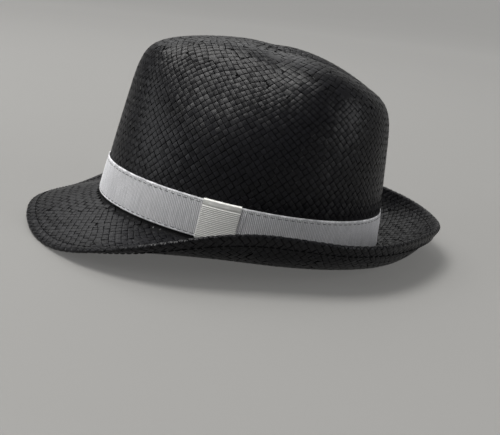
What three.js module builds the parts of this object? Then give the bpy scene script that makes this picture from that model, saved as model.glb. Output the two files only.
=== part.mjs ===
// A short-brimmed trilby woven in black paper straw, with a white grosgrain ribbon
// round the foot of the crown and a ribbon keeper over its joint on the wearer's left.
// Millimetres, +Z up, the front of the hat towards -Y, the wearer's left towards +X.
// The hat is drawn upright on the level plane of its crown's foot, then set down as
// it rests by itself: on the front of the brim and on the roll of the brim's back.

import * as THREE from 'three';

// Head oval, over the straw at the foot of the crown
const headLength = 205;
const headWidth = 168;
const frontTaper = 0.04;

// Straw, and the hem where the brim's edge is folded under
const strawThickness = 1.8;
const hemWidth = 6.5;
const hemThickness = 3.2;

// Crown, with the crease along its top and a pinch on each side of its front
const crownHeight = 124.3;
const creaseDepth = 9;
const creaseWidth = 30;
const pinchDepth = 40;

// Brim, measured along the straw from the crown's foot to the edge
const brimWidth = 55;
const footFold = 2.2;

// Grosgrain ribbon: the band round the crown and the keeper wrapped over its joint
const ribbonWidth = 25.4;
const ribbonThickness = 1;
const bandRise = 0.5;
const jointRise = 0.6;
const jointReach = 4.2;
const keeperWidth = 25.4;
const keeperAzimuth = 79;
const clearance = 0.3;

// The crown's wall from the foot to the tip, at the front, the sides and the back:
// square is how hard it turns at the shoulder, lean is how far it draws in by the
// tip, and drop how far the shoulder lies below the tip, as shares of the oval's
// half length and of the crown's height
const wallProfile = {
  front: { square: 12.9, lean: 0.126, drop: 0.158 },
  side: { square: 3.3, lean: 0.037, drop: 0 },
  back: { square: 13.5, lean: 0.135, drop: 0.243 },
};

// The crease along the top: its two ends and how softly they fade, as shares of the
// oval's half length, and the height where it starts, as a share of the crown's
const crease = { frontEnd: -0.02, backEnd: 0.6, fade: 0.06, foot: 0.6 };

// The pinch: its middle and its reach, as shares of the oval's half length along Y
// and of the crown's height along Z
const pinch = { middleY: -0.52, middleZ: 1, reachY: 0.46, reachZ: 0.42 };

// Brim sections from the front round to the back, the same on both sides: width is a
// share of brimWidth, and inner and outer are the brim's slope in degrees where it
// leaves the crown and at its edge, upwards positive
const brimSections = [
  { azimuth: 0, width: 0.952, inner: -14, outer: -28 },
  { azimuth: 35, width: 1.049, inner: -20, outer: -20 },
  { azimuth: 60, width: 1.11, inner: -20, outer: 23 },
  { azimuth: 90, width: 1.02, inner: -12, outer: 73 },
  { azimuth: 120, width: 0.993, inner: -1, outer: 66 },
  { azimuth: 150, width: 0.92, inner: -2, outer: 79 },
  { azimuth: 180, width: 0.91, inner: 19, outer: 50 },
];
const curlPower = 1.1;

// Fineness of the meshes
const azimuthSteps = 64;
const crownRings = 20;
const brimRings = 9;
const curveSteps = 40;
const keeperSteps = 6;
const foldCrowding = 1.7;
const shoulderPath = 0.45;
const shoulderCrowding = 0.6;
const steepestPitch = 0.5;

const halfLength = headLength / 2;
const halfWidth = headWidth / 2;
const radians = THREE.MathUtils.degToRad;

// A column of the brim table at any azimuth, as a smooth curve through its sections
// that is level at the front and at the back
function brimColumn(column, azimuth) {
  const rows = brimSections;
  const angle = THREE.MathUtils.radToDeg(Math.acos(Math.cos(azimuth)));
  const slopes = rows.map((row, i) => {
    if (i === 0 || i === rows.length - 1) return 0;
    const before = row.azimuth - rows[i - 1].azimuth;
    const after = rows[i + 1].azimuth - row.azimuth;
    const rise = (row[column] - rows[i - 1][column]) / before;
    const next = (rows[i + 1][column] - row[column]) / after;
    return (rise * after + next * before) / (before + after);
  });
  const found = rows.findIndex((row) => row.azimuth > angle);
  const last = found < 0 ? rows.length - 1 : found;
  const span = rows[last].azimuth - rows[last - 1].azimuth;
  const u = (angle - rows[last - 1].azimuth) / span;
  return rows[last - 1][column] * (2 * u ** 3 - 3 * u ** 2 + 1)
    + slopes[last - 1] * span * (u ** 3 - 2 * u ** 2 + u)
    + rows[last][column] * (3 * u ** 2 - 2 * u ** 3)
    + slopes[last] * span * (u ** 3 - u ** 2);
}

// The head oval, narrower at the front; azimuth runs from the front to the wearer's left
function ovalPoint(azimuth) {
  const x = halfWidth * Math.sin(azimuth) * (1 - frontTaper * Math.cos(azimuth));
  return new THREE.Vector2(x, -halfLength * Math.cos(azimuth));
}

// The level direction straight out from the oval
function ovalOutward(azimuth) {
  const step = 1e-4;
  const along = ovalPoint(azimuth + step).sub(ovalPoint(azimuth - step));
  return new THREE.Vector2(along.y, -along.x).normalize();
}

// A wall value between the side's and the front's or the back's
function wallValue(key, azimuth) {
  const c = Math.cos(azimuth);
  const end = c > 0 ? wallProfile.front : wallProfile.back;
  return THREE.MathUtils.lerp(wallProfile.side[key], end[key], c * c);
}

// A step from 0 to 1 that is soft over the crease's fade
const softStep = (share) => 1 / (1 + Math.exp(-share / crease.fade));

// The crown's outer face: down is 0 at the middle of the tip and 1 at the foot
function crownPoint(azimuth, down) {
  const oval = ovalPoint(azimuth);
  const turn = (1 - down) * Math.PI / 2;
  const power = wallValue('square', azimuth);
  const radial = (Math.cos(turn) ** power + Math.sin(turn) ** power) ** (-1 / power);
  const height = Math.sin(turn) * radial;
  const reach = Math.cos(turn) * radial * (1 - wallValue('lean', azimuth) * height);
  const y = oval.y * reach;
  const shareY = y / halfLength;
  const end = shareY < 0 ? wallProfile.front : wallProfile.back;
  const z = crownHeight * height * (1 - height * end.drop * shareY ** 2);

  const nearness = ((shareY - pinch.middleY) / pinch.reachY) ** 2
    + ((z / crownHeight - pinch.middleZ) / pinch.reachZ) ** 2;
  const pressed = pinchDepth / halfWidth * Math.exp(-nearness);
  const x = oval.x * reach * (1 - pressed);

  const top = THREE.MathUtils.clamp((height - crease.foot) / (1 - crease.foot), 0, 1);
  const along = softStep(shareY - crease.frontEnd) * softStep(crease.backEnd - shareY);
  const across = Math.exp(-((2 * x / creaseWidth) ** 2));
  const sunk = creaseDepth * across * along * top * top * (3 - 2 * top);
  return new THREE.Vector3(x, y, z - sunk);
}

// The brim's upper face: out is 0 at the foot and 1 at the edge. It leaves the wall in
// a small fold and then follows the slopes of the brim table
function brimPoint(azimuth, out) {
  const oval = ovalPoint(azimuth);
  const outward = ovalOutward(azimuth);
  const width = brimWidth * brimColumn('width', azimuth);
  const inner = radians(brimColumn('inner', azimuth));
  const outer = radians(brimColumn('outer', azimuth));
  let reach = 0;
  let rise = 0;
  for (let i = 0; i < curveSteps; i += 1) {
    const from = out * (i / curveSteps) ** foldCrowding;
    const to = out * ((i + 1) / curveSteps) ** foldCrowding;
    const middle = out * ((i + 0.5) / curveSteps) ** foldCrowding;
    const fold = Math.exp(-((middle * width / footFold) ** 2));
    const curl = inner + (outer - inner) * middle ** curlPower;
    const slope = curl - (Math.PI / 2 + inner) * fold;
    reach += Math.cos(slope) * (to - from) * width;
    rise += Math.sin(slope) * (to - from) * width;
  }
  return new THREE.Vector3(oval.x + outward.x * reach, oval.y + outward.y * reach, rise);
}

// The outer face of the whole hat: path is 0 at the tip, 1 at the foot, 2 at the edge
const skinPoint = (azimuth, path) => (
  path < 1 ? crownPoint(azimuth, path) : brimPoint(azimuth, path - 1)
);

// A point off the outer face by a distance, outwards positive
function offSkin(azimuth, path, distance) {
  const step = 1e-3;
  const point = skinPoint(azimuth, path);
  if (path < step) return point.setZ(point.z + distance);
  const last = Math.min(path + step, 2);
  const downwards = skinPoint(azimuth, last).sub(skinPoint(azimuth, path - step));
  const around = skinPoint(azimuth + step, path).sub(skinPoint(azimuth - step, path));
  return point.addScaledVector(downwards.cross(around).normalize(), distance);
}

// The path value where the crown's wall reaches a height above the foot
function pathAtHeight(azimuth, height) {
  let low = 0.5;
  let high = 1;
  if (height < 0) return 1 - height / brimWidth;
  for (let i = 0; i < curveSteps; i += 1) {
    const middle = (low + high) / 2;
    if (crownPoint(azimuth, middle).z > height) low = middle;
    else high = middle;
  }
  return (low + high) / 2;
}

// A mesh from a grid of rings, each ring closed on itself, with the faces and the
// single points that close its ends
function meshFromRings(name, material, rings, faces = [], ends = []) {
  const count = rings[0].length;
  const index = [];
  for (let r = 0; r < rings.length - 1; r += 1) {
    for (let j = 0; j < count; j += 1) {
      const k = (j + 1) % count;
      const a = r * count + j;
      const b = (r + 1) * count + j;
      const c = (r + 1) * count + k;
      const d = r * count + k;
      index.push(a, b, c, a, c, d);
    }
  }
  const geometry = new THREE.BufferGeometry();
  geometry.setFromPoints([...rings.flat(), ...ends]);
  geometry.setIndex(index.concat(faces));
  geometry.computeVertexNormals();
  const mesh = new THREE.Mesh(geometry, material);
  mesh.name = name;
  return mesh;
}

const strawMaterial = new THREE.MeshStandardMaterial({
  color: new THREE.Color(0.03, 0.031, 0.034),
  roughness: 0.55,
  metalness: 0,
});
const ribbonMaterial = new THREE.MeshStandardMaterial({
  color: new THREE.Color(0.76, 0.77, 0.78),
  roughness: 0.8,
  metalness: 0,
});

const azimuths = Array.from(
  { length: azimuthSteps },
  (_, j) => 2 * Math.PI * j / azimuthSteps,
);

// Crown and brim: one blocked sheet of straw, hollow from below, with the hem's double
// thickness under the edge of the brim
function makeStrawBody() {
  const ringAt = (path, distance) => azimuths.map((t) => offSkin(t, path, distance));

  // Rings crowd together where the wall turns over the shoulder, and at the foot's fold
  const wave = (u) => Math.sin(2 * Math.PI * (u - shoulderPath));
  const crownPaths = Array.from({ length: crownRings }, (_, i) => {
    const u = (i + 1) / crownRings;
    return u - shoulderCrowding * (wave(u) - wave(0)) / (2 * Math.PI);
  });
  const hemStart = 1 - hemWidth / brimWidth;
  const brimPaths = Array.from(
    { length: brimRings },
    (_, i) => 1 + hemStart * ((i + 1) / brimRings) ** foldCrowding,
  );
  const paths = [...crownPaths, ...brimPaths];
  const topSide = [...paths, 1 + (1 + hemStart) / 2, 2].map((path) => ringAt(path, 0));

  // The edge is a folded round: its nose stands out by half of the hem's thickness
  const edgeTop = ringAt(2, 0);
  const edgeUnder = ringAt(2, -hemThickness);
  const edgeInner = ringAt(2 - hemThickness / brimWidth, -hemThickness / 2);
  const nose = edgeTop.map((top, j) => {
    const middle = top.clone().add(edgeUnder[j]).multiplyScalar(0.5);
    const outwards = middle.clone().sub(edgeInner[j]).normalize();
    return middle.addScaledVector(outwards, hemThickness / 2);
  });

  const hemEnd = 1 + hemStart;
  const hemStep = (hemThickness - strawThickness) / 2 / brimWidth;
  const hemSide = [
    edgeUnder,
    ringAt(hemEnd, -hemThickness),
    ringAt(hemEnd - hemStep, -strawThickness),
  ];
  const underPaths = paths.slice(0, -1).reverse();
  const underSide = underPaths.map((path) => ringAt(path, -strawThickness));
  const rings = [...topSide, nose, ...hemSide, ...underSide];

  const tip = crownPoint(0, 0);
  const poles = [tip, tip.clone().setZ(tip.z - strawThickness)];
  const count = azimuthSteps;
  const faces = [];
  const outerPole = rings.length * count;
  const innerPole = outerPole + 1;
  const lastRing = (rings.length - 1) * count;
  for (let j = 0; j < count; j += 1) {
    const k = (j + 1) % count;
    faces.push(outerPole, j, k, innerPole, lastRing + k, lastRing + j);
  }
  return meshFromRings('straw_body', strawMaterial, rings, faces, poles);
}

// How far the azimuth turns for a length along the foot of the crown
function azimuthOver(length) {
  const middle = radians(keeperAzimuth);
  const step = 1e-3;
  const along = ovalPoint(middle + step).sub(ovalPoint(middle - step)).length();
  return length * 2 * step / along;
}

// Band: one loop of ribbon, thicker where its two ends lie over each other
function makeHatBand() {
  const jointStart = radians(keeperAzimuth) - azimuthOver(keeperWidth / 4);
  const jointEnd = radians(keeperAzimuth) + azimuthOver(keeperWidth / 2 + jointReach);
  const ramp = azimuthOver(ribbonThickness / 2);
  const stations = azimuths
    .filter((t) => [jointStart, jointEnd].every((edge) => Math.abs(t - edge) > 2 * ramp))
    .map((t) => ({ t, doubled: t > jointStart && t < jointEnd }));
  stations.push(
    { t: jointStart - ramp, doubled: false },
    { t: jointStart, doubled: true },
    { t: jointEnd, doubled: true },
    { t: jointEnd + ramp, doubled: false },
  );
  stations.sort((a, b) => a.t - b.t);

  const heights = [0, 0.5, 1].map((share) => bandRise + ribbonWidth * share);
  const inner = heights.map((z) => stations.map(({ t }) => (
    offSkin(t, pathAtHeight(t, z), clearance)
  )));
  const outer = heights.map((z) => stations.map(({ t, doubled }) => (
    offSkin(t, pathAtHeight(t, z), clearance + ribbonThickness + (doubled ? jointRise : 0))
  )));
  const rings = [...inner, ...outer.reverse(), inner[0]];
  return meshFromRings('hat_band', ribbonMaterial, rings);
}

// Keeper: the same ribbon wrapped over the joint, round the band's top and bottom edges
function makeBandKeeper() {
  const wrapInner = clearance + ribbonThickness + jointRise + clearance;
  const wrapOuter = wrapInner + ribbonThickness;
  const lowEdge = bandRise - clearance;
  const highEdge = bandRise + ribbonWidth + clearance;
  const profile = [
    [clearance, highEdge],
    [wrapInner, highEdge],
    [wrapInner, lowEdge],
    [clearance, lowEdge],
    [clearance, lowEdge - ribbonThickness],
    [wrapInner, lowEdge - ribbonThickness],
    [wrapOuter, lowEdge],
    [wrapOuter, highEdge],
    [wrapInner, highEdge + ribbonThickness],
    [clearance, highEdge + ribbonThickness],
  ];
  const middle = radians(keeperAzimuth);
  const half = azimuthOver(keeperWidth / 2);
  const rings = Array.from({ length: keeperSteps + 1 }, (_, i) => {
    const t = middle + half * (2 * i / keeperSteps - 1);
    return profile.map(([distance, height]) => {
      const foot = offSkin(t, pathAtHeight(t, Math.max(height, 0)), distance);
      return foot.setZ(foot.z + Math.min(height, 0));
    });
  });
  const flat = profile.map(([distance, height]) => new THREE.Vector2(distance, height));
  const caps = THREE.ShapeUtils.triangulateShape(flat, []);
  const last = keeperSteps * profile.length;
  const faces = caps.flatMap(([a, b, c]) => [a, b, c, last + a, last + c, last + b]);
  return meshFromRings('band_keeper', ribbonMaterial, rings, faces);
}

// The pitch about X at which the front and the back of the brim both touch the ground
function restingPitch(geometry) {
  const points = geometry.attributes.position;
  const lowest = (pitch, side) => {
    let low = Infinity;
    for (let i = 0; i < points.count; i += 1) {
      const y = points.getY(i);
      const z = y * Math.sin(pitch) + points.getZ(i) * Math.cos(pitch);
      if (y * side > 0) low = Math.min(low, z);
    }
    return low;
  };
  let noseUp = -steepestPitch;
  let noseDown = steepestPitch;
  for (let i = 0; i < curveSteps; i += 1) {
    const middle = (noseUp + noseDown) / 2;
    if (lowest(middle, -1) > lowest(middle, 1)) noseUp = middle;
    else noseDown = middle;
  }
  return (noseUp + noseDown) / 2;
}

const group = new THREE.Group();
const strawBody = makeStrawBody();
group.add(strawBody, makeHatBand(), makeBandKeeper());
group.rotation.x = restingPitch(strawBody.geometry);
group.updateMatrixWorld(true);
const box = new THREE.Box3().setFromObject(group, true);
group.position.set(0, -(box.min.y + box.max.y) / 2, -box.min.z);
group.updateMatrixWorld(true);

export default group;
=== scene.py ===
import math

import bpy
import numpy as np
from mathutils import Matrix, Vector


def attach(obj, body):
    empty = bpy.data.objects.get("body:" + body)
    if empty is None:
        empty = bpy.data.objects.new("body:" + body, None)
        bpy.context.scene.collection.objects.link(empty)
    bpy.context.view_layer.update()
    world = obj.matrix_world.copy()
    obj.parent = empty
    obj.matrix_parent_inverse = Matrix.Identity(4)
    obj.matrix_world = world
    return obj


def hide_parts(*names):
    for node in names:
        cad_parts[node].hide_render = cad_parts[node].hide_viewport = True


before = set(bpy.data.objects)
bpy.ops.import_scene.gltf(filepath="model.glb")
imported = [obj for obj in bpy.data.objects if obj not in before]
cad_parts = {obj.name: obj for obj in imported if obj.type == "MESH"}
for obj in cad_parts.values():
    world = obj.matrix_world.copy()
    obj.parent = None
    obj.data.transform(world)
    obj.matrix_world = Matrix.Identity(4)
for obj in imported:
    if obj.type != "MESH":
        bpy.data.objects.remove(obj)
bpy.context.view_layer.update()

# The blocked straw: the crown, creased along its top and pinched on both sides of its
# front, and the short brim that is level in front and curls up round the sides and back.
# It is one sheet of black paper straw, pressed over a block; this is its dark inner layer.
half_length = 0.1025
half_width = 0.084
front_taper = 0.04
crown_height = 0.1243
straw_thickness = 0.0018
wall_front = (12.9, 0.126, 0.158)
wall_side = (3.3, 0.037, 0.0)
wall_back = (13.5, 0.135, 0.243)
crease_ends = (-0.02, 0.6)
crease_fade = 0.06
crease_foot = 0.6
crease_depth = 0.009
crease_width = 0.030
pinch_depth = 0.040
pinch_middle = (-0.52, 1.0)
pinch_reach = (0.46, 0.42)
brim_width = 0.055
foot_fold = 0.0022
curl_power = 1.1
brim_steps = 40
brim_crowding = 1.7
hem_width = 0.0065
hem_round = 0.0016
brim_azimuth = np.radians([0, 35, 60, 90, 120, 150, 180])
brim_share = np.array([0.952, 1.049, 1.11, 1.02, 0.993, 0.92, 0.91])
brim_inner = np.radians([-14, -20, -20, -12, -1, -2, 19])
brim_outer = np.radians([-28, -20, 23, 73, 66, 79, 50])
resting_pitch = -0.09400686
resting_place = np.array([0.0, 0.00268806, 0.01345614])
tip_path = 0.012


def head_oval(t):
    """Half width times the sine and half length times the cosine of the azimuth, with
    the width drawn in towards the front."""
    x = half_width * np.sin(t) * (1 - front_taper * np.cos(t))
    return x, -half_length * np.cos(t)


def crown_surface(t, down):
    """A superellipse from the tip (down 0) to the foot (down 1), whose power, lean and
    drop change with the azimuth, less a Gaussian pinch and a Gaussian crease."""
    c = np.cos(t)
    square, lean, drop = [
        s + (np.where(c > 0, f, b) - s) * c * c
        for f, s, b in zip(wall_front, wall_side, wall_back)
    ]
    turn = (1 - down) * np.pi / 2
    radial = (np.cos(turn) ** square + np.sin(turn) ** square) ** (-1 / square)
    height = np.sin(turn) * radial
    reach = np.cos(turn) * radial * (1 - lean * height)
    oval_x, oval_y = head_oval(t)
    share = oval_y * reach / half_length
    drop = np.where(share < 0, wall_front[2], wall_back[2])
    z = crown_height * height * (1 - height * drop * share ** 2)
    near = ((share - pinch_middle[0]) / pinch_reach[0]) ** 2
    near = near + ((z / crown_height - pinch_middle[1]) / pinch_reach[1]) ** 2
    x = oval_x * reach * (1 - pinch_depth / half_width * np.exp(-near))
    top = np.clip((height - crease_foot) / (1 - crease_foot), 0, 1)
    along = 1 / (1 + np.exp((crease_ends[0] - share) / crease_fade))
    along = along / (1 + np.exp((share - crease_ends[1]) / crease_fade))
    across = np.exp(-(2 * x / crease_width) ** 2)
    z = z - crease_depth * across * along * top * top * (3 - 2 * top)
    return np.stack([x, oval_y * reach, z], -1)


def round_the_brim(values, t):
    """A cubic through the table's values against the azimuth, level at both ends and the
    same on the left and the right."""
    angle = np.arccos(np.clip(np.cos(t), -1, 1))
    gap = np.diff(brim_azimuth)
    rise = np.diff(values) / gap
    slope = np.zeros(len(values))
    slope[1:-1] = (rise[:-1] * gap[1:] + rise[1:] * gap[:-1]) / (gap[1:] + gap[:-1])
    i = np.clip(np.searchsorted(brim_azimuth, angle, side="right") - 1, 0, len(gap) - 1)
    u = (angle - brim_azimuth[i]) / gap[i]
    low = values[i] * (2 * u ** 3 - 3 * u ** 2 + 1)
    low = low + slope[i] * gap[i] * (u ** 3 - 2 * u ** 2 + u)
    high = values[i + 1] * (3 * u ** 2 - 2 * u ** 3)
    return low + high + slope[i + 1] * gap[i] * (u ** 3 - u ** 2)


def brim_surface(t, out):
    """Steps along the brim from the foot (out 0) to the edge (out 1), added up, each at
    the slope that the brim has there, with a tight fold at the foot."""
    oval_x, oval_y = head_oval(t)
    ahead_x, ahead_y = head_oval(t + 1e-4)
    side_x, side_y = ahead_y - oval_y, oval_x - ahead_x
    length = np.hypot(side_x, side_y)
    width = (brim_width * round_the_brim(brim_share, t))[..., None]
    inner = round_the_brim(brim_inner, t)[..., None]
    outer = round_the_brim(brim_outer, t)[..., None]
    ends = (np.arange(brim_steps + 1) / brim_steps) ** brim_crowding
    middle = out[..., None] * ((np.arange(brim_steps) + 0.5) / brim_steps) ** brim_crowding
    size = out[..., None] * width * np.diff(ends)
    slope = inner + (outer - inner) * middle ** curl_power
    slope = slope - (np.pi / 2 + inner) * np.exp(-((middle * width / foot_fold) ** 2))
    reach = (np.cos(slope) * size).sum(-1)
    rise = (np.sin(slope) * size).sum(-1)
    x = oval_x + side_x / length * reach
    return np.stack([x, oval_y + side_y / length * reach, rise], -1)


def bare_skin(t, path):
    """The crown for a path below 1 and the brim from 1 to 2."""
    point = np.empty(t.shape + (3,))
    crown = path < 1
    point[crown] = crown_surface(t[crown], path[crown])
    point[~crown] = brim_surface(t[~crown], path[~crown] - 1)
    return point


def straw_skin(t, path, off):
    """The upper face moved by off along its normal. Past the edge (path 2 to 3) it goes
    round half a circle of the hem's radius, and then (3 to 4) back under the brim."""
    t, path, off = np.broadcast_arrays(t, path, off)
    hem = hem_width / (brim_width * round_the_brim(brim_share, t))
    base = np.where(path < 3, np.minimum(path, 2), 2 - (path - 3) * hem)
    step = 1e-3
    point = bare_skin(t, base)
    low = np.clip(base - step, 1e-6, None)
    along = bare_skin(t, np.minimum(base + step, 2)) - bare_skin(t, low)
    around = bare_skin(t + step, base) - bare_skin(t - step, base)
    normal = np.cross(along, around)
    normal /= np.linalg.norm(normal, axis=-1, keepdims=True)
    along /= np.linalg.norm(along, axis=-1, keepdims=True)
    turn = (np.clip(path - 2, 0, 1) * np.pi)[..., None]
    off = off[..., None]
    facing = np.cos(turn) * normal + np.sin(turn) * along
    return point - hem_round * normal + (hem_round + off) * facing


def at_rest(points):
    """Turns the upright hat about X and sets it down, as it stands by itself."""
    c, s = math.cos(resting_pitch), math.sin(resting_pitch)
    x, y, z = points[..., 0], points[..., 1], points[..., 2]
    return np.stack([x, y * c - z * s, y * s + z * c], -1) + resting_place


def wrapped_grid(rows, columns, closed_rows=True):
    """Quads between neighbouring rows of a grid whose columns close on themselves."""
    r = np.arange(rows if closed_rows else rows - 1)[:, None]
    c = np.arange(columns)[None, :]
    below = (r + 1) % rows
    beside = (c + 1) % columns
    corners = [r * columns + c, below * columns + c]
    corners += [below * columns + beside, r * columns + beside]
    return np.stack(np.broadcast_arrays(*corners), -1).reshape(-1, 4)


def new_piece(name, points, faces, material):
    """A mesh object from arrays, in place, riding on the hat's one body."""
    mesh = bpy.data.meshes.new(name)
    mesh.from_pydata(points.reshape(-1, 3), [], faces)
    mesh.shade_smooth()
    mesh.materials.append(material)
    piece = bpy.data.objects.new(name, mesh)
    bpy.context.scene.collection.objects.link(piece)
    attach(piece, "root")
    return piece


def join(material, output, socket):
    """Links one output to one input of a material's nodes."""
    material.node_tree.links.new(output, socket)


def add_node(material, kind, **settings):
    """A new node of a material, with its inputs (written with _ for spaces) set."""
    node = material.node_tree.nodes.new("ShaderNode" + kind)
    for name, value in settings.items():
        node.inputs[name.replace("_", " ")].default_value = value
    return node


def ramp(material, value, low, dark, high, light):
    """A value turned into a colour: dark up to low, light from high on."""
    shades = add_node(material, "ValToRGB")
    shades.color_ramp.elements[0].position = low
    shades.color_ramp.elements[0].color = dark
    shades.color_ramp.elements[1].position = high
    shades.color_ramp.elements[1].color = light
    join(material, value, shades.inputs["Fac"])
    return shades.outputs["Color"]


dull_straw = bpy.data.materials.new("dull_straw")
dull_straw.use_nodes = True
shader = dull_straw.node_tree.nodes["Principled BSDF"]
shader.inputs["Roughness"].default_value = 0.8
shader.inputs["Specular IOR Level"].default_value = 0.16
place = add_node(dull_straw, "TexCoord")
specks = add_node(dull_straw, "TexNoise", Scale=600)
join(dull_straw, place.outputs["Object"], specks.inputs["Vector"])
dark, light = (0.0035, 0.0035, 0.004, 1), (0.008, 0.008, 0.009, 1)
shades = ramp(dull_straw, specks.outputs["Fac"], 0.0, dark, 1.0, light)
join(dull_straw, shades, shader.inputs["Base Color"])

layer_depth = 0.0007
layer_columns = 192
layer_down = np.linspace(tip_path, 1, 72)
layer_out = 1 + np.linspace(0, 1, 34)[1:] ** 1.5
layer_edge = np.linspace(2, 3, 7)[1:]
layer_hem = np.linspace(3, 4, 4)[1:]
layer_top = np.concatenate([layer_down, layer_out, layer_edge, layer_hem])
layer_under = np.concatenate([layer_down, layer_out])[::-1][4:]
layer_t = np.linspace(0, 2 * np.pi, layer_columns + 1)[:-1]
layer_rows = np.concatenate([
    straw_skin(layer_t[None, :], layer_top[:, None], -layer_depth),
    straw_skin(layer_t[None, :], layer_under[:, None], layer_depth - straw_thickness),
])
layer_faces = wrapped_grid(*layer_rows.shape[:2], closed_rows=False).tolist()
layer_faces += [list(range(layer_columns))]
layer_faces += [list(range(layer_rows[..., 0].size))[:-layer_columns - 1:-1]]
straw_layer = new_piece("straw_layer", at_rest(layer_rows), layer_faces, dull_straw)
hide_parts("straw_body")

# The woven strips: flat paper straw about 4 mm wide in a plain weave, one over and one
# under, on the slant. Strips are added in rings on the tip, round the shoulder and across
# the brim, which keeps them all one width. They show on both faces of the hat.
strip_pitch = 0.0038
strip_gap = 0.06
strip_tuck = 0.1
strip_shoulder = 0.45
strip_stations = (-0.5 - strip_tuck, -strip_shoulder, 0.0, strip_shoulder, 0.5 + strip_tuck)
strip_heights = (-0.0006, 0.0, 0.0002, 0.0, -0.0006)
strip_droop = 0.00008
strip_depth = 0.0002
strip_turn = 0.07
strip_widening = 0.05
strip_slip = 0.04
strip_lift = 0.00004
strip_pitching = 0.00026
strip_rolling = 0.0002
fold_middle = 1.035
fold_reach = 0.045
fold_thinning = 0.85
tuck_shadow = -0.0003
tone_turn = 12.9898
tone_spread = 43758.5453
tile_crease = math.radians(24)
strip_apart = 0.05
second_numbers = 500
first_strips = 5
added_strips = [
    (0.045, 4), (0.08, 6), (0.125, 9), (0.18, 10), (0.25, 12), (0.33, 14), (0.42, 22),
    (0.505, 26), (1.1, 12), (1.42, 18), (1.74, 16),
]
turn_scatter = 0.3
depth_scatter = 0.016
least_depth = 0.02
rng = np.random.default_rng(7)

# How far round the foot each azimuth lies, and how far down the hat each path lies, in
# turns of the hat's own girth, so that a square on this map is a square on the straw
girth_t = np.linspace(0, 2 * np.pi, 721)
girth_x, girth_y = head_oval(girth_t)
girth = np.cumsum(np.hypot(np.diff(girth_x), np.diff(girth_y)))
foot_girth = girth[-1]
girth = np.concatenate([[0], girth]) / foot_girth
level_path = np.concatenate([np.linspace(tip_path, 1, 260), 1 + np.linspace(0, 3, 200)[1:]])
level_ring = straw_skin(girth_t[None, ::8], level_path[:, None], 0.0)
level_girth = np.linalg.norm(np.diff(level_ring, axis=1), axis=-1).sum(1)
level_step = np.linalg.norm(np.diff(level_ring, axis=0), axis=-1).mean(1)
level = np.cumsum(level_step * 2 / (level_girth[1:] + level_girth[:-1]))
level = np.concatenate([[0], level])
level = level - np.interp(1, level_path, level)

starts = []
for ring_path, count in added_strips:
    turns = np.arange(count) + rng.uniform(-turn_scatter, turn_scatter, count)
    turns = (turns + rng.random()) / count % 1
    depth = ring_path + rng.uniform(-depth_scatter, depth_scatter, count)
    depth = np.maximum(depth, least_depth)
    starts.append(turns + 1j * np.interp(depth, level_path, level))
starts = np.concatenate(starts)


def strip_numbers(place):
    """A map of the hat as complex numbers, turned into strip numbers: the half sum of the
    two strips' numbers goes round the hat and their half difference goes down it. Each
    added strip is the logarithm of a sine, one turn more below its start than above."""
    lean = np.pi * (place[:, None] - starts)
    lean = lean.real + 1j * np.clip(lean.imag, -30, 30)
    more = 0.5j / np.pi * np.log(np.sin(lean)) + 0.5 * (place[:, None] - starts)
    slope = 0.5 + 0.5j / np.tan(lean)
    return first_strips * place + more.sum(1), first_strips + slope.sum(1)


def nearest_crossing(numbers):
    """The middle of the crossing of two strips that a pair of strip numbers lies in."""
    one = np.floor(numbers.real + numbers.imag) + 0.5
    two = np.floor(numbers.real - numbers.imag) + 0.5
    return (one + two) / 2 + 0.5j * (one - two)


# The crossings: from places spread evenly over the map, Newton's steps go to the middle of
# the nearest crossing, and places that reach the same one are taken once
row_gap = 0.38
column_gap = 0.4
longest_move = 1.5
near_enough = 1e-5
places_per_turn = 2e4
ring_strips = first_strips + np.array([
    np.sum([count for ring_path, count in added_strips if ring_path < path])
    for path in level_path
])
rows = np.concatenate([[0], np.cumsum(np.diff(level) * ring_strips[1:])])
row_level = np.interp(np.arange(0, rows[-1], row_gap), rows, level)
row_strips = np.interp(row_level, level, ring_strips)
crossings = np.concatenate([
    np.arange(0, 1, column_gap / strips) + 1j * row for row, strips in zip(row_level, row_strips)
])
goal = nearest_crossing(strip_numbers(crossings)[0])
for newton_step in range(5):
    numbers, slope = strip_numbers(crossings)
    gap = goal - numbers
    gap = gap - np.round(gap.real)
    move = gap / slope
    reach = longest_move / np.abs(slope)
    crossings = crossings + move * np.minimum(1, reach / np.maximum(np.abs(move), 1e-12))
numbers, slope = strip_numbers(crossings)
gap = goal - numbers
settled = np.abs(gap - np.round(gap.real)) < near_enough
settled &= (crossings.imag > level[0]) & (crossings.imag < level[-1])
crossings = crossings.real % 1 + 1j * crossings.imag
keys = np.round(crossings[settled] * places_per_turn)
kept = np.unique(keys, return_index=True)[1]
crossings = crossings[settled][kept]
slope = slope[settled][kept]
numbers = nearest_crossing(numbers[settled][kept])
strip_one = np.round(numbers.real + numbers.imag - 0.5)
strip_two = np.round(numbers.real - numbers.imag - 0.5)
crossing_path = np.interp(crossings.imag, level, level_path)
sway = rng.uniform(-1, 1, (len(crossings), 6))


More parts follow.
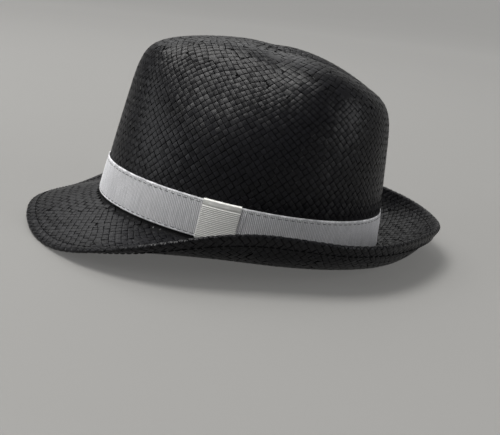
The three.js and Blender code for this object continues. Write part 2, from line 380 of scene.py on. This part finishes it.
def strip_tile(fineness):
    """One visible length of strip: a grid of stations along it, three or more points
    across, its heights read off the strip's own stations, and six corners below."""
    rows, columns = 4 * fineness + 1, 2 * fineness + 1
    station = np.interp(np.linspace(0, 4, rows), np.arange(5), strip_stations)
    height = np.interp(station, strip_stations, strip_heights)
    long = np.repeat(station, columns)
    wide = np.tile(np.linspace(-0.5 + strip_gap, 0.5 - strip_gap, columns), rows)
    off = np.repeat(height, columns) - strip_droop * (wide / strip_shoulder) ** 2
    last = rows * columns
    middle = rows // 2 * columns
    corner = [0, middle, last - columns, last - 1, middle + columns - 1, columns - 1]
    long = np.concatenate([long, long[corner]])
    wide = np.concatenate([wide, wide[corner]])
    low = off[0] - strip_depth * np.array([1, 0, 1, 1, 0, 1])
    off = np.concatenate([off, low])
    grid = wrapped_grid(rows, columns, closed_rows=False).reshape(rows - 1, columns, 4)
    below = list(range(last, last + 6))
    left = list(range(last - columns, -1, -columns)) + below[:3]
    right = list(range(columns - 1, last, columns)) + below[3:]
    start = list(range(columns)) + [below[5], below[0]]
    end = list(range(last - 1, last - 1 - columns, -1)) + below[2:4]
    under = [[below[0], below[5], below[4], below[1]], [below[1], below[4], below[3], below[2]]]
    faces = [grid[:, :-1].reshape(-1, 4), under, [left], [right], [start], [end]]
    return long, wide, off, faces


def weave(name, from_path, to_path, face, material, fineness=1):
    """The strip that lies on top at each crossing between two paths: a short arched slab
    along the strip, whose ends dip under its neighbours. face is 1 for the outside of
    the hat and -1 for the inside, where slabs are thinner round the tight fold at the
    foot, so that their flat backs stay inside the straw. Each point stores its place on
    its own strip and a tone from the strip's number, one lower where it is tucked, which
    is painted shade for the shadow under its neighbours."""
    tile_long, tile_wide, tile_off, tile_faces = strip_tile(fineness)
    size = len(tile_long)
    here = (crossing_path >= from_path) & (crossing_path < to_path)
    first_over = (strip_one + strip_two)[here] % 2 == (0 if face > 0 else 1)
    wander = sway[here]
    turn = strip_turn * wander[:, :1]
    width = 1 + strip_widening * wander[:, 1:2]
    along = tile_long - turn * tile_wide + strip_slip * wander[:, 2:3]
    across = (tile_wide + turn * tile_long) * width
    by_one = np.where(first_over[:, None], -across * face, along)
    by_two = np.where(first_over[:, None], along, across * face)
    place = crossings[here][:, None]
    place = place + (by_one + by_two + 1j * (by_one - by_two)) / 2 / slope[here][:, None]
    t = np.interp(place.real % 1, girth, girth_t)
    path = np.interp(place.imag, level, level_path)
    off = tile_off + strip_lift * wander[:, 3:4] + strip_pitching * wander[:, 4:5] * tile_long
    off = off + strip_rolling * wander[:, 5:6] * tile_wide
    near_fold = np.exp(-(((crossing_path[here] - fold_middle) / fold_reach) ** 2))[:, None]
    off = off if face > 0 else -straw_thickness - off * (1 - fold_thinning * near_fold)
    points = at_rest(straw_skin(t, path, off))
    base = np.arange(len(points))[:, None, None] * size
    faces = []
    for kind in tile_faces:
        faces += (base + np.array(kind)).reshape(-1, len(kind[0])).tolist()
    piece = new_piece(name, points, faces, material)
    piece.data.set_sharp_from_angle(angle=tile_crease)
    number = np.where(first_over, strip_one[here], strip_two[here] + second_numbers)[:, None]
    tone = np.sin(number * tone_turn) * tone_spread % 1
    run = np.where(first_over, strip_two[here], strip_one[here])[:, None] + tile_long
    side = number * strip_apart + tile_wide * strip_pitch
    # Tucked points are one lower, which the straw material paints darker: painted shade in the tucks
    tone_and_painted_shade = tone - (tile_off < tuck_shadow)
    strip_run = np.stack([run * strip_pitch, side, tone_and_painted_shade], -1)
    fibre = piece.data.attributes.new("strip_run", "FLOAT_VECTOR", "POINT")
    fibre.data.foreach_set("vector", strip_run.ravel())
    return piece


def span(material, value, low, high, lowest=0.0):
    """A value from lowest to 1 mapped evenly to the range from low to high."""
    ranged = add_node(material, "MapRange", From_Min=lowest, To_Min=low, To_Max=high)
    join(material, value, ranged.inputs["Value"])
    return ranged.outputs["Result"]


# Black paper straw: long fine fibres run along each strip, some strips took more dye than
# others, and the pressed face has a soft gloss that breaks up along the fibres. The colour
# is also painted darker where a strip is tucked under its neighbours, as painted shade.
paper_straw = bpy.data.materials.new("paper_straw")
paper_straw.use_nodes = True
shader = paper_straw.node_tree.nodes["Principled BSDF"]
shader.inputs["Specular IOR Level"].default_value = 0.2
run = add_node(paper_straw, "Attribute")
run.attribute_name = "strip_run"
parts = add_node(paper_straw, "SeparateXYZ")
join(paper_straw, run.outputs["Vector"], parts.inputs["Vector"])
stretched = add_node(paper_straw, "Mapping", Scale=(130, 3200, 60))
join(paper_straw, run.outputs["Vector"], stretched.inputs["Vector"])
fibres = add_node(paper_straw, "TexNoise", Scale=1.0, Detail=3.0, Roughness=0.6)
join(paper_straw, stretched.outputs["Vector"], fibres.inputs["Vector"])
creased = add_node(paper_straw, "Mapping", Scale=(40, 700, 25))
join(paper_straw, run.outputs["Vector"], creased.inputs["Vector"])
creases = add_node(paper_straw, "TexNoise", Scale=1.0, Detail=2.0)
join(paper_straw, creased.outputs["Vector"], creases.inputs["Vector"])
dark, light = (0.002, 0.002, 0.0026, 1), (0.010, 0.010, 0.0125, 1)
dye = ramp(paper_straw, fibres.outputs["Fac"], 0.3, dark, 0.78, light)
# The dye scaled by the strip's random tone, and darker at the tucks as painted shade
dyed_and_painted_shade = add_node(paper_straw, "VectorMath")
dyed_and_painted_shade.operation = "SCALE"
join(paper_straw, dye, dyed_and_painted_shade.inputs[0])
join(paper_straw, span(paper_straw, parts.outputs["Z"], 0.1, 1.35, -1.0), dyed_and_painted_shade.inputs["Scale"])
join(paper_straw, dyed_and_painted_shade.outputs["Vector"], shader.inputs["Base Color"])
gloss = span(paper_straw, creases.outputs["Fac"], 0.27, 0.46)
join(paper_straw, gloss, shader.inputs["Roughness"])
height = add_node(paper_straw, "Math")
join(paper_straw, fibres.outputs["Fac"], height.inputs[0])
join(paper_straw, creases.outputs["Fac"], height.inputs[1])
bumps = add_node(paper_straw, "Bump", Strength=0.55, Distance=0.00008)
join(paper_straw, height.outputs["Value"], bumps.inputs["Height"])
join(paper_straw, bumps.outputs["Normal"], shader.inputs["Normal"])

weave("woven_tip", 0.0, 0.49, 1, paper_straw)
weave("woven_wall", 0.49, 0.985, 1, paper_straw)
weave("woven_brim", 1.065, 1.9, 1, paper_straw)
weave("woven_hem", 1.9, 3.95, 1, paper_straw, fineness=2)
weave("woven_underside", 1.0, 1.88, -1, paper_straw)
weave("woven_inside_tip", 0.0, 0.49, -1, paper_straw)
weave("woven_inside_wall", 0.49, 1.0, -1, paper_straw)

# The hat band: one length of white 25 mm grosgrain, stretched round the foot of the crown
# and sewn down along both edges. Its ends lie over each other under the keeper on the
# wearer's left. Ribs run across it, between two smooth woven edges.
ribbon_width = 0.0254
ribbon_thickness = 0.00055
ribbon_stand_off = 0.0004
ribbon_foot = 0.0005
rib_pitch = 0.0012
rib_depth = 0.00017
ribbon_crease = math.radians(60)
selvedge = 0.05
selvedge_groove = 0.00016
groove_share = 0.004
edge_rounding = 0.00015
keeper_azimuth = np.radians(79)
keeper_width = 0.0254
end_reach = 0.0042
end_lift = 0.0003
lift_ahead = 0.002
lift_ease = 0.0005
slant_length = 0.012
slant_cut = 0.7


def turn_at(length):
    """The azimuth at a length along the foot of the crown, also past a whole turn."""
    turns, rest = np.divmod(length / foot_girth, 1)
    return np.interp(rest, girth, girth_t) + 2 * np.pi * turns


def off_the_foot(length, height, off):
    """A point of the ribbon: the wall of the crown at that height above its foot, found
    by halving, moved off along the straw's normal."""
    t, height, off = np.broadcast_arrays(turn_at(length), height, off)
    low = np.full(t.shape, 0.5)
    high = np.ones(t.shape)
    for halving in range(26):
        middle = (low + high) / 2
        above = crown_surface(t, middle)[..., 2] > np.maximum(height, 0)
        low = np.where(above, middle, low)
        high = np.where(above, high, middle)
    point = straw_skin(t, (low + high) / 2, off)
    point[..., 2] += np.minimum(height, 0)
    return point


def ribbon_run(piece, along, up, rib):
    """Stores where each point lies on the flat ribbon, in metres along and across it, and
    how high it lies on its rib, from -1 in the groove to 1."""
    along, up, rib = np.broadcast_arrays(along, up, rib)
    flat = np.stack([along, up, rib], -1)
    attribute = piece.data.attributes.new("ribbon_run", "FLOAT_VECTOR", "POINT")
    attribute.data.foreach_set("vector", flat.ravel())


# White grosgrain: each rib is a bundle of weft under close warp threads, so the face is
# crossed by fine threads, has slightly uneven ribs and a faint soiling from handling. Its
# colour is painted darker in the grooves between the ribs, as painted shade.
def grosgrain(name, thread_colour, soiled_colour):
    """Ribbon material on the flat ribbon's own place: warp threads, soiling, nap and painted shade in
    the rib grooves.
    """
    cloth = bpy.data.materials.new(name)
    cloth.use_nodes = True
    shader = cloth.node_tree.nodes["Principled BSDF"]
    shader.inputs["Specular IOR Level"].default_value = 0.3
    shader.inputs["Sheen Weight"].default_value = 0.15
    shader.inputs["Sheen Roughness"].default_value = 0.5
    run = add_node(cloth, "Attribute")
    run.attribute_name = "ribbon_run"
    threads = add_node(cloth, "TexWave", Scale=620.0, Distortion=1.2, Detail=2.0)
    threads.bands_direction = "Y"
    soiling = add_node(cloth, "TexNoise", Scale=150.0, Detail=4.0, Roughness=0.6)
    uneven = add_node(cloth, "Mapping", Scale=(900, 60, 0))
    slubs = add_node(cloth, "TexNoise", Scale=1.0, Detail=2.0)
    join(cloth, run.outputs["Vector"], threads.inputs["Vector"])
    join(cloth, run.outputs["Vector"], soiling.inputs["Vector"])
    join(cloth, run.outputs["Vector"], uneven.inputs["Vector"])
    join(cloth, uneven.outputs["Vector"], slubs.inputs["Vector"])
    mixed = add_node(cloth, "Math")
    mixed.operation = "MULTIPLY"
    join(cloth, soiling.outputs["Fac"], mixed.inputs[0])
    join(cloth, span(cloth, slubs.outputs["Fac"], 0.7, 1.3), mixed.inputs[1])
    shades = ramp(cloth, mixed.outputs["Value"], 0.36, soiled_colour, 0.66, thread_colour)
    flat_place = add_node(cloth, "SeparateXYZ")
    join(cloth, run.outputs["Vector"], flat_place.inputs["Vector"])
    # The colour scaled by the rib height: painted shade, darker in the grooves
    ribs_painted_shade = add_node(cloth, "VectorMath")
    ribs_painted_shade.operation = "SCALE"
    join(cloth, shades, ribs_painted_shade.inputs[0])
    join(cloth, span(cloth, flat_place.outputs["Z"], 0.5, 1.12, -1.0), ribs_painted_shade.inputs["Scale"])
    join(cloth, ribs_painted_shade.outputs["Vector"], shader.inputs["Base Color"])
    join(cloth, span(cloth, slubs.outputs["Fac"], 0.62, 0.88), shader.inputs["Roughness"])
    nap = add_node(cloth, "Bump", Strength=0.5, Distance=0.00006)
    join(cloth, threads.outputs["Fac"], nap.inputs["Height"])
    join(cloth, nap.outputs["Normal"], shader.inputs["Normal"])
    return cloth


ribbon_white = grosgrain("ribbon_white", (0.92, 0.917, 0.945, 1), (0.48, 0.485, 0.505, 1))
keeper_length = np.interp(keeper_azimuth, girth_t, girth) * foot_girth
band_from = keeper_length - keeper_width / 4
band_to = keeper_length + keeper_width / 2 + end_reach + foot_girth
band_ribs = round((band_to - band_from) / rib_pitch)
band_step = np.arange(band_ribs * 4 + 1)
band_along = np.linspace(band_from, band_to, len(band_step))
face_height = np.concatenate([
    [0.0, 0.012, 0.03, 0.045, 0.052], np.linspace(0.09, 0.91, 7), [0.948, 0.955, 0.97, 0.988, 1],
])
face_ribbed = (face_height > selvedge) & (face_height < 1 - selvedge)
face_lie = np.full(len(face_height), ribbon_thickness)
for groove in (selvedge, 1 - selvedge):
    face_lie -= selvedge_groove * np.exp(-((face_height - groove) / groove_share) ** 2)
face_lie[[0, -1]] -= edge_rounding
back_height = [1.0, 0.66, 0.33, 0.0]
band_profile = np.concatenate([face_height, back_height])
band_lie = np.concatenate([face_lie, np.zeros(len(back_height))])
band_ribbed = np.concatenate([face_ribbed, np.zeros(len(back_height), bool)])
band_swing = np.cos(np.pi / 2 * band_step)[:, None]
overlap = 1 / (1 + np.exp(-(band_along - band_from - foot_girth + lift_ahead) / lift_ease))
band_off = ribbon_stand_off + band_lie + end_lift * overlap[:, None]
band_off = band_off + rib_depth * band_ribbed * band_swing
slant = np.clip((band_along - band_to + slant_length) / slant_length, 0, 1)[:, None]
band_place = band_along[:, None] - slant * (1 - band_profile) * end_reach * slant_cut
band_rows = off_the_foot(band_place, ribbon_foot + ribbon_width * band_profile, band_off)
count = len(band_profile)
faces = wrapped_grid(*band_rows.shape[:2], closed_rows=False).tolist()
faces += [list(range(count))[::-1], list(range(band_rows[..., 0].size))[-count:]]
hat_ribbon = new_piece("hat_ribbon", at_rest(band_rows), faces, ribbon_white)
hat_ribbon.data.set_sharp_from_angle(angle=ribbon_crease)
# Rib heights for the ribbon's painted groove shade; the smooth edges count as rib tops
rib_wave = np.where(band_ribbed, band_swing, 1.0)
ribbon_run(hat_ribbon, band_place, ribbon_width * band_profile, rib_wave)
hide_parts("hat_band")

# The stitches: one row near each edge of the band, its thread drawn dark grey as painted
# shade for the groove it lies in, and one black row round the brim through its turned
# hem, seen on both faces.
stitch_pitch = 0.0046
stitch_length = 0.0034
thread_radius = 0.00025
top_row = 0.0235
foot_row = 0.0020
row_ahead = 0.003
row_short = 0.004
hem_line = 0.0055
hem_stitches = 204
hem_stitch_length = 0.0040
hem_thread_radius = 0.00030
under_stitch_length = 0.0042
under_thread_radius = 0.00036
hem_stand_off = 0.0001


def stitch_row(name, surface, starts, length, radius, material, slot):
    """Threads along a line: a ring of six points carried along five stations, thinner at
    its ends, which go down into the cloth. surface takes along, across and off."""
    station = np.array([-1, -0.75, 0, 0.75, 1])[:, None]
    thick = np.array([0.35, 0.8, 1, 0.8, 0.35])[:, None]
    lift = np.array([-1.3, 0.15, 0.5, 0.15, -1.3])[:, None]
    ring = np.radians(np.arange(6) * 60)
    along = starts[:, None, None] + station * length / 2
    across = radius * thick * np.cos(ring)
    off = radius * (lift + thick * np.sin(ring))
    points = at_rest(surface(*np.broadcast_arrays(along, across, off)))
    rings, corners = len(station), len(ring)
    first_end = np.arange(corners)[::-1]
    last_end = np.arange(-corners, 0) + rings * corners
    base = np.arange(len(starts))[:, None, None] * rings * corners
    faces = (base + wrapped_grid(rings, corners, closed_rows=False)).reshape(-1, 4).tolist()
    faces += (base + first_end).reshape(-1, corners).tolist()
    faces += (base + last_end).reshape(-1, corners).tolist()
    return new_piece(name, points, faces, material)


def thread(name, roughness, gloss, dark, light):
    """Twisted thread: a fine noise mixes its dark and its light fibres."""
    material = bpy.data.materials.new(name)
    material.use_nodes = True
    shader = material.node_tree.nodes["Principled BSDF"]
    shader.inputs["Roughness"].default_value = roughness
    shader.inputs["Specular IOR Level"].default_value = gloss
    place = add_node(material, "TexCoord")
    twist = add_node(material, "TexNoise", Scale=2500.0, Detail=1.0)
    join(material, place.outputs["Object"], twist.inputs["Vector"])
    fluff = ramp(material, twist.outputs["Fac"], 0.0, dark, 1.0, light)
    join(material, fluff, shader.inputs["Base Color"])
    return material


def band_top(along, across, off):
    """A point near the line of stitches below the band's top edge."""
    return off_the_foot(along, top_row + across, off + ribbon_stand_off + ribbon_thickness)


def band_foot(along, across, off):
    """A point near the line of stitches above the band's foot edge."""
    return off_the_foot(along, foot_row + across, off + ribbon_stand_off + ribbon_thickness)


# The band's stitch thread is drawn dark grey: painted shade of the groove it sinks into
stitch_thread_painted_shade = thread("stitch_thread_painted_shade", 0.6, 0.5, (0.03, 0.03, 0.034, 1), (0.11, 0.11, 0.12, 1))
row_count = round((foot_girth - keeper_width - row_short) / stitch_pitch)
row_from = keeper_length + keeper_width / 2 + end_reach + row_ahead
row_places = row_from + np.arange(row_count) * stitch_pitch
band_row = (row_places, stitch_length, thread_radius, stitch_thread_painted_shade, "ribbon")
stitch_row("band_top_stitches", band_top, *band_row)
stitch_row("band_foot_stitches", band_foot, *band_row)
edge_girth = foot_girth + 2 * np.pi * brim_width


def hem_top(along, across, off):
    """A point near the hem's stitch line on the upper face of the brim."""
    t = np.interp(along / edge_girth % 1, girth, girth_t)
    out = (hem_line + across) / (brim_width * round_the_brim(brim_share, t))
    return straw_skin(t, 2 - out, hem_stand_off + off)


def hem_under(along, across, off):
    """A point near the same line on the folded hem, on the under side of the brim."""
    t = np.interp(along / edge_girth % 1, girth, girth_t)
    return straw_skin(t, 3 + (hem_line - across) / hem_width, hem_stand_off + off)


black_thread = thread("black_thread", 0.8, 0.05, (0.0015, 0.0015, 0.002, 1), (0.005, 0.005, 0.006, 1))
hem_places = np.linspace(0, edge_girth, hem_stitches + 1)[:-1]
hem_row = (hem_places, hem_stitch_length, hem_thread_radius, black_thread, "straw")
stitch_row("hem_top_stitches", hem_top, *hem_row)
under_row = (hem_places, under_stitch_length, under_thread_radius, black_thread, "straw")
stitch_row("hem_under_stitches", hem_under, *under_row)

# The keeper: a second short length of the same ribbon, its ribs lying level, folded down
# over the band's joint with a smooth hem along its top. It is turned in at both edges of
# the band, hides the joint and stands a little proud of the band.
keeper_out = 0.0022
keeper_in = 0.0016
keeper_top = 0.0266
keeper_round = 0.0008
keeper_foot = 0.0012
keeper_lean = 0.0012
keeper_hem = 0.0226
hem_dip = -0.2
hem_groove = 0.00022
hem_groove_height = 0.0004
front_sink = 0.0004
front_sink_share = 0.25
back_sink = 0.0002
back_sink_share = 0.2
side_rounding = 0.00012
turn_off = np.array([0.0004, 0.0011, 0.0017, 0.0020, keeper_out])
turn_up = keeper_top - np.array([0.0, 0.0, 0.0001, 0.0003, keeper_round])
down_height = np.linspace(keeper_top - keeper_round, keeper_foot, 86)[1:-1]
down_rib = rib_depth * np.cos(2 * np.pi * down_height / rib_pitch)
down_rib = np.where(down_height < keeper_hem, down_rib, hem_dip * rib_depth)
down_off = -hem_groove * np.exp(-((down_height - keeper_hem) / hem_groove_height) ** 2)
down_off = keeper_out + down_rib + down_off
outer = np.concatenate([
    np.stack([turn_off, turn_up], -1),
    np.stack([down_off, down_height], -1),
    [[keeper_out, keeper_foot], [0.0020, 0.0], [0.0016, -0.0006], [0.0010, -0.0008], [0.0004, -0.0008]],
])
inner = np.array([
    [0.0004, -0.0002], [0.0010, -0.0002], [0.0014, 0.0002], [keeper_in, 0.0012],
    [keeper_in, 0.0060], [keeper_in, 0.0120], [keeper_in, 0.0180], [keeper_in, 0.0249],
    [0.0014, 0.0257], [0.0010, 0.0260], [0.0004, 0.0260],
])
keeper_turns = np.concatenate([outer, inner])
keeper_share = np.array([0, 0.004, 0.03, 0.06, *np.linspace(0.12, 0.88, 14), 0.94, 0.97, 0.996, 1])
keeper_sink = -front_sink * np.exp(-keeper_share / front_sink_share)
keeper_sink = keeper_sink - back_sink * np.exp((keeper_share - 1) / back_sink_share)
keeper_sink = keeper_sink[:, None] * np.clip(keeper_turns[:, 0] / keeper_in, 0, 1)
keeper_side = (keeper_share == 0) | (keeper_share == 1)
keeper_sink[keeper_side, :len(outer)] -= side_rounding
keeper_place = keeper_length + (keeper_share[:, None] - 0.5) * keeper_width
keeper_place = keeper_place + keeper_lean * (keeper_turns[:, 1] / keeper_top - 0.5)
keeper_rows = off_the_foot(keeper_place, keeper_turns[:, 1], keeper_turns[:, 0] + keeper_sink)
count = len(keeper_turns)
faces = wrapped_grid(*keeper_rows.shape[:2], closed_rows=False)[:, ::-1].tolist()
faces += [list(range(count)), list(range(keeper_rows[..., 0].size))[-count:][::-1]]
# The same ribbon with a slight cream tint, drawn brighter than the band: painted light for the overhead
# light its level ribs catch
keeper_cream_painted_light = grosgrain("keeper_cream_painted_light", (1.0, 1.0, 0.97, 1), (0.76, 0.76, 0.73, 1))
ribbon_keeper = new_piece("ribbon_keeper", at_rest(keeper_rows), faces, keeper_cream_painted_light)
ribbon_keeper.data.set_sharp_from_angle(angle=ribbon_crease)
# Rib heights for the keeper's painted groove shade; the hem, at -0.2, is painted a little darker
down_wave = np.ones(count)
down_wave[len(turn_off):len(turn_off) + len(down_rib)] = down_rib / rib_depth
ribbon_run(ribbon_keeper, keeper_turns[:, 1], keeper_place, down_wave)
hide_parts("band_keeper")

# The studio: a plain grey floor that runs on well past the view and glows, faintly near
# the hat, lighting the brim from below, and more far off like a lit backdrop, soft lights
# above, low in front, behind and over the far side, and a grey surround that is paler on
# the far side of the hat.
floor_reach = 60
floor_lines = 13
floor_height = -0.0002
floor_paint = bpy.data.materials.new("floor_paint")
floor_paint.use_nodes = True
shader = floor_paint.node_tree.nodes["Principled BSDF"]
shader.inputs["Base Color"].default_value = (0.2, 0.197, 0.191, 1)
shader.inputs["Roughness"].default_value = 0.9
shader.inputs["Emission Color"].default_value = (1.0, 0.99, 0.965, 1)
way = add_node(floor_paint, "TexCoord")
way_off = add_node(floor_paint, "VectorMath")
way_off.operation = "LENGTH"
join(floor_paint, way.outputs["Object"], way_off.inputs[0])
# The floor's glow is painted light: faint near the hat, lighting the brim from below, and brighter far
# off
glow = add_node(floor_paint, "MapRange", From_Min=0.3, From_Max=2.2, To_Min=0.1, To_Max=0.25)
join(floor_paint, way_off.outputs["Value"], glow.inputs["Value"])
join(floor_paint, glow.outputs["Result"], shader.inputs["Emission Strength"])
mottle = add_node(floor_paint, "TexNoise", Scale=3.0, Detail=6.0)
join(floor_paint, way.outputs["Object"], mottle.inputs["Vector"])
join(floor_paint, span(floor_paint, mottle.outputs["Fac"], 0.8, 0.95), shader.inputs["Roughness"])
floor_line = np.linspace(-floor_reach, floor_reach, floor_lines)
floor_x, floor_y = np.meshgrid(floor_line, floor_line, indexing="ij")
floor_points = np.stack([floor_x, floor_y, np.full_like(floor_x, floor_height)], -1)
floor_mesh = bpy.data.meshes.new("floor")
floor_faces = wrapped_grid(floor_lines, floor_lines, closed_rows=False)
floor_faces = floor_faces.reshape(floor_lines - 1, floor_lines, 4)[:, :-1].reshape(-1, 4)
floor_mesh.from_pydata(floor_points.reshape(-1, 3), [], floor_faces)
floor_mesh.materials.append(floor_paint)
floor = bpy.data.objects.new("floor", floor_mesh)
bpy.context.scene.collection.objects.link(floor)


def soft_light(name, place, aim, size, watts, colour):
    """A square area light at a place, turned towards its aim."""
    lamp = bpy.data.lights.new(name, "AREA")
    lamp.size = size
    lamp.energy = watts
    lamp.color = colour
    light = bpy.data.objects.new(name, lamp)
    light.location = place
    light.rotation_euler = (Vector(place) - Vector(aim)).to_track_quat("Z", "Y").to_euler()
    bpy.context.scene.collection.objects.link(light)


soft_light("key_light", (0.1, -0.75, 1.9), (0, 0, 0.06), 1.0, 38, (1.0, 0.99, 0.97))
soft_light("fill_light", (0.4, -1.5, 0.55), (0, 0, 0.08), 0.9, 7.5, (0.98, 0.99, 1.0))
soft_light("back_light", (0.6, 1.3, 0.55), (0, 0, 0.08), 0.8, 5.5, (0.99, 0.99, 1.0))
soft_light("top_light", (-1.1, -0.2, 1.4), (0, 0, 0.08), 1.3, 9, (1.0, 1.0, 1.0))
world = bpy.data.worlds.new("studio")
world.use_nodes = True
surround = world.node_tree.nodes["Background"]
surround.inputs["Color"].default_value = (1.0, 0.995, 0.97, 1)
way = add_node(world, "TexCoord")
way_parts = add_node(world, "SeparateXYZ")
join(world, way.outputs["Generated"], way_parts.inputs["Vector"])
join(world, span(world, way_parts.outputs["X"], 0.38, 0.16, -1.0), surround.inputs["Strength"])
bpy.context.scene.world = world
bpy.context.scene.view_settings.view_transform = "Standard"

# The camera: on the wearer's left, a little above the brim and looking slightly down, with
# the roll of the photograph.
camera_data = bpy.data.cameras.new("camera")
camera_data.lens = 65.05
camera_data.sensor_width = 36
camera = bpy.data.objects.new("camera", camera_data)
camera.location = (0.639390, -0.039993, 0.191549)
camera.rotation_euler = np.radians([74.1455, -6.6847, 87.3273])
bpy.context.scene.collection.objects.link(camera)
bpy.context.scene.camera = camera
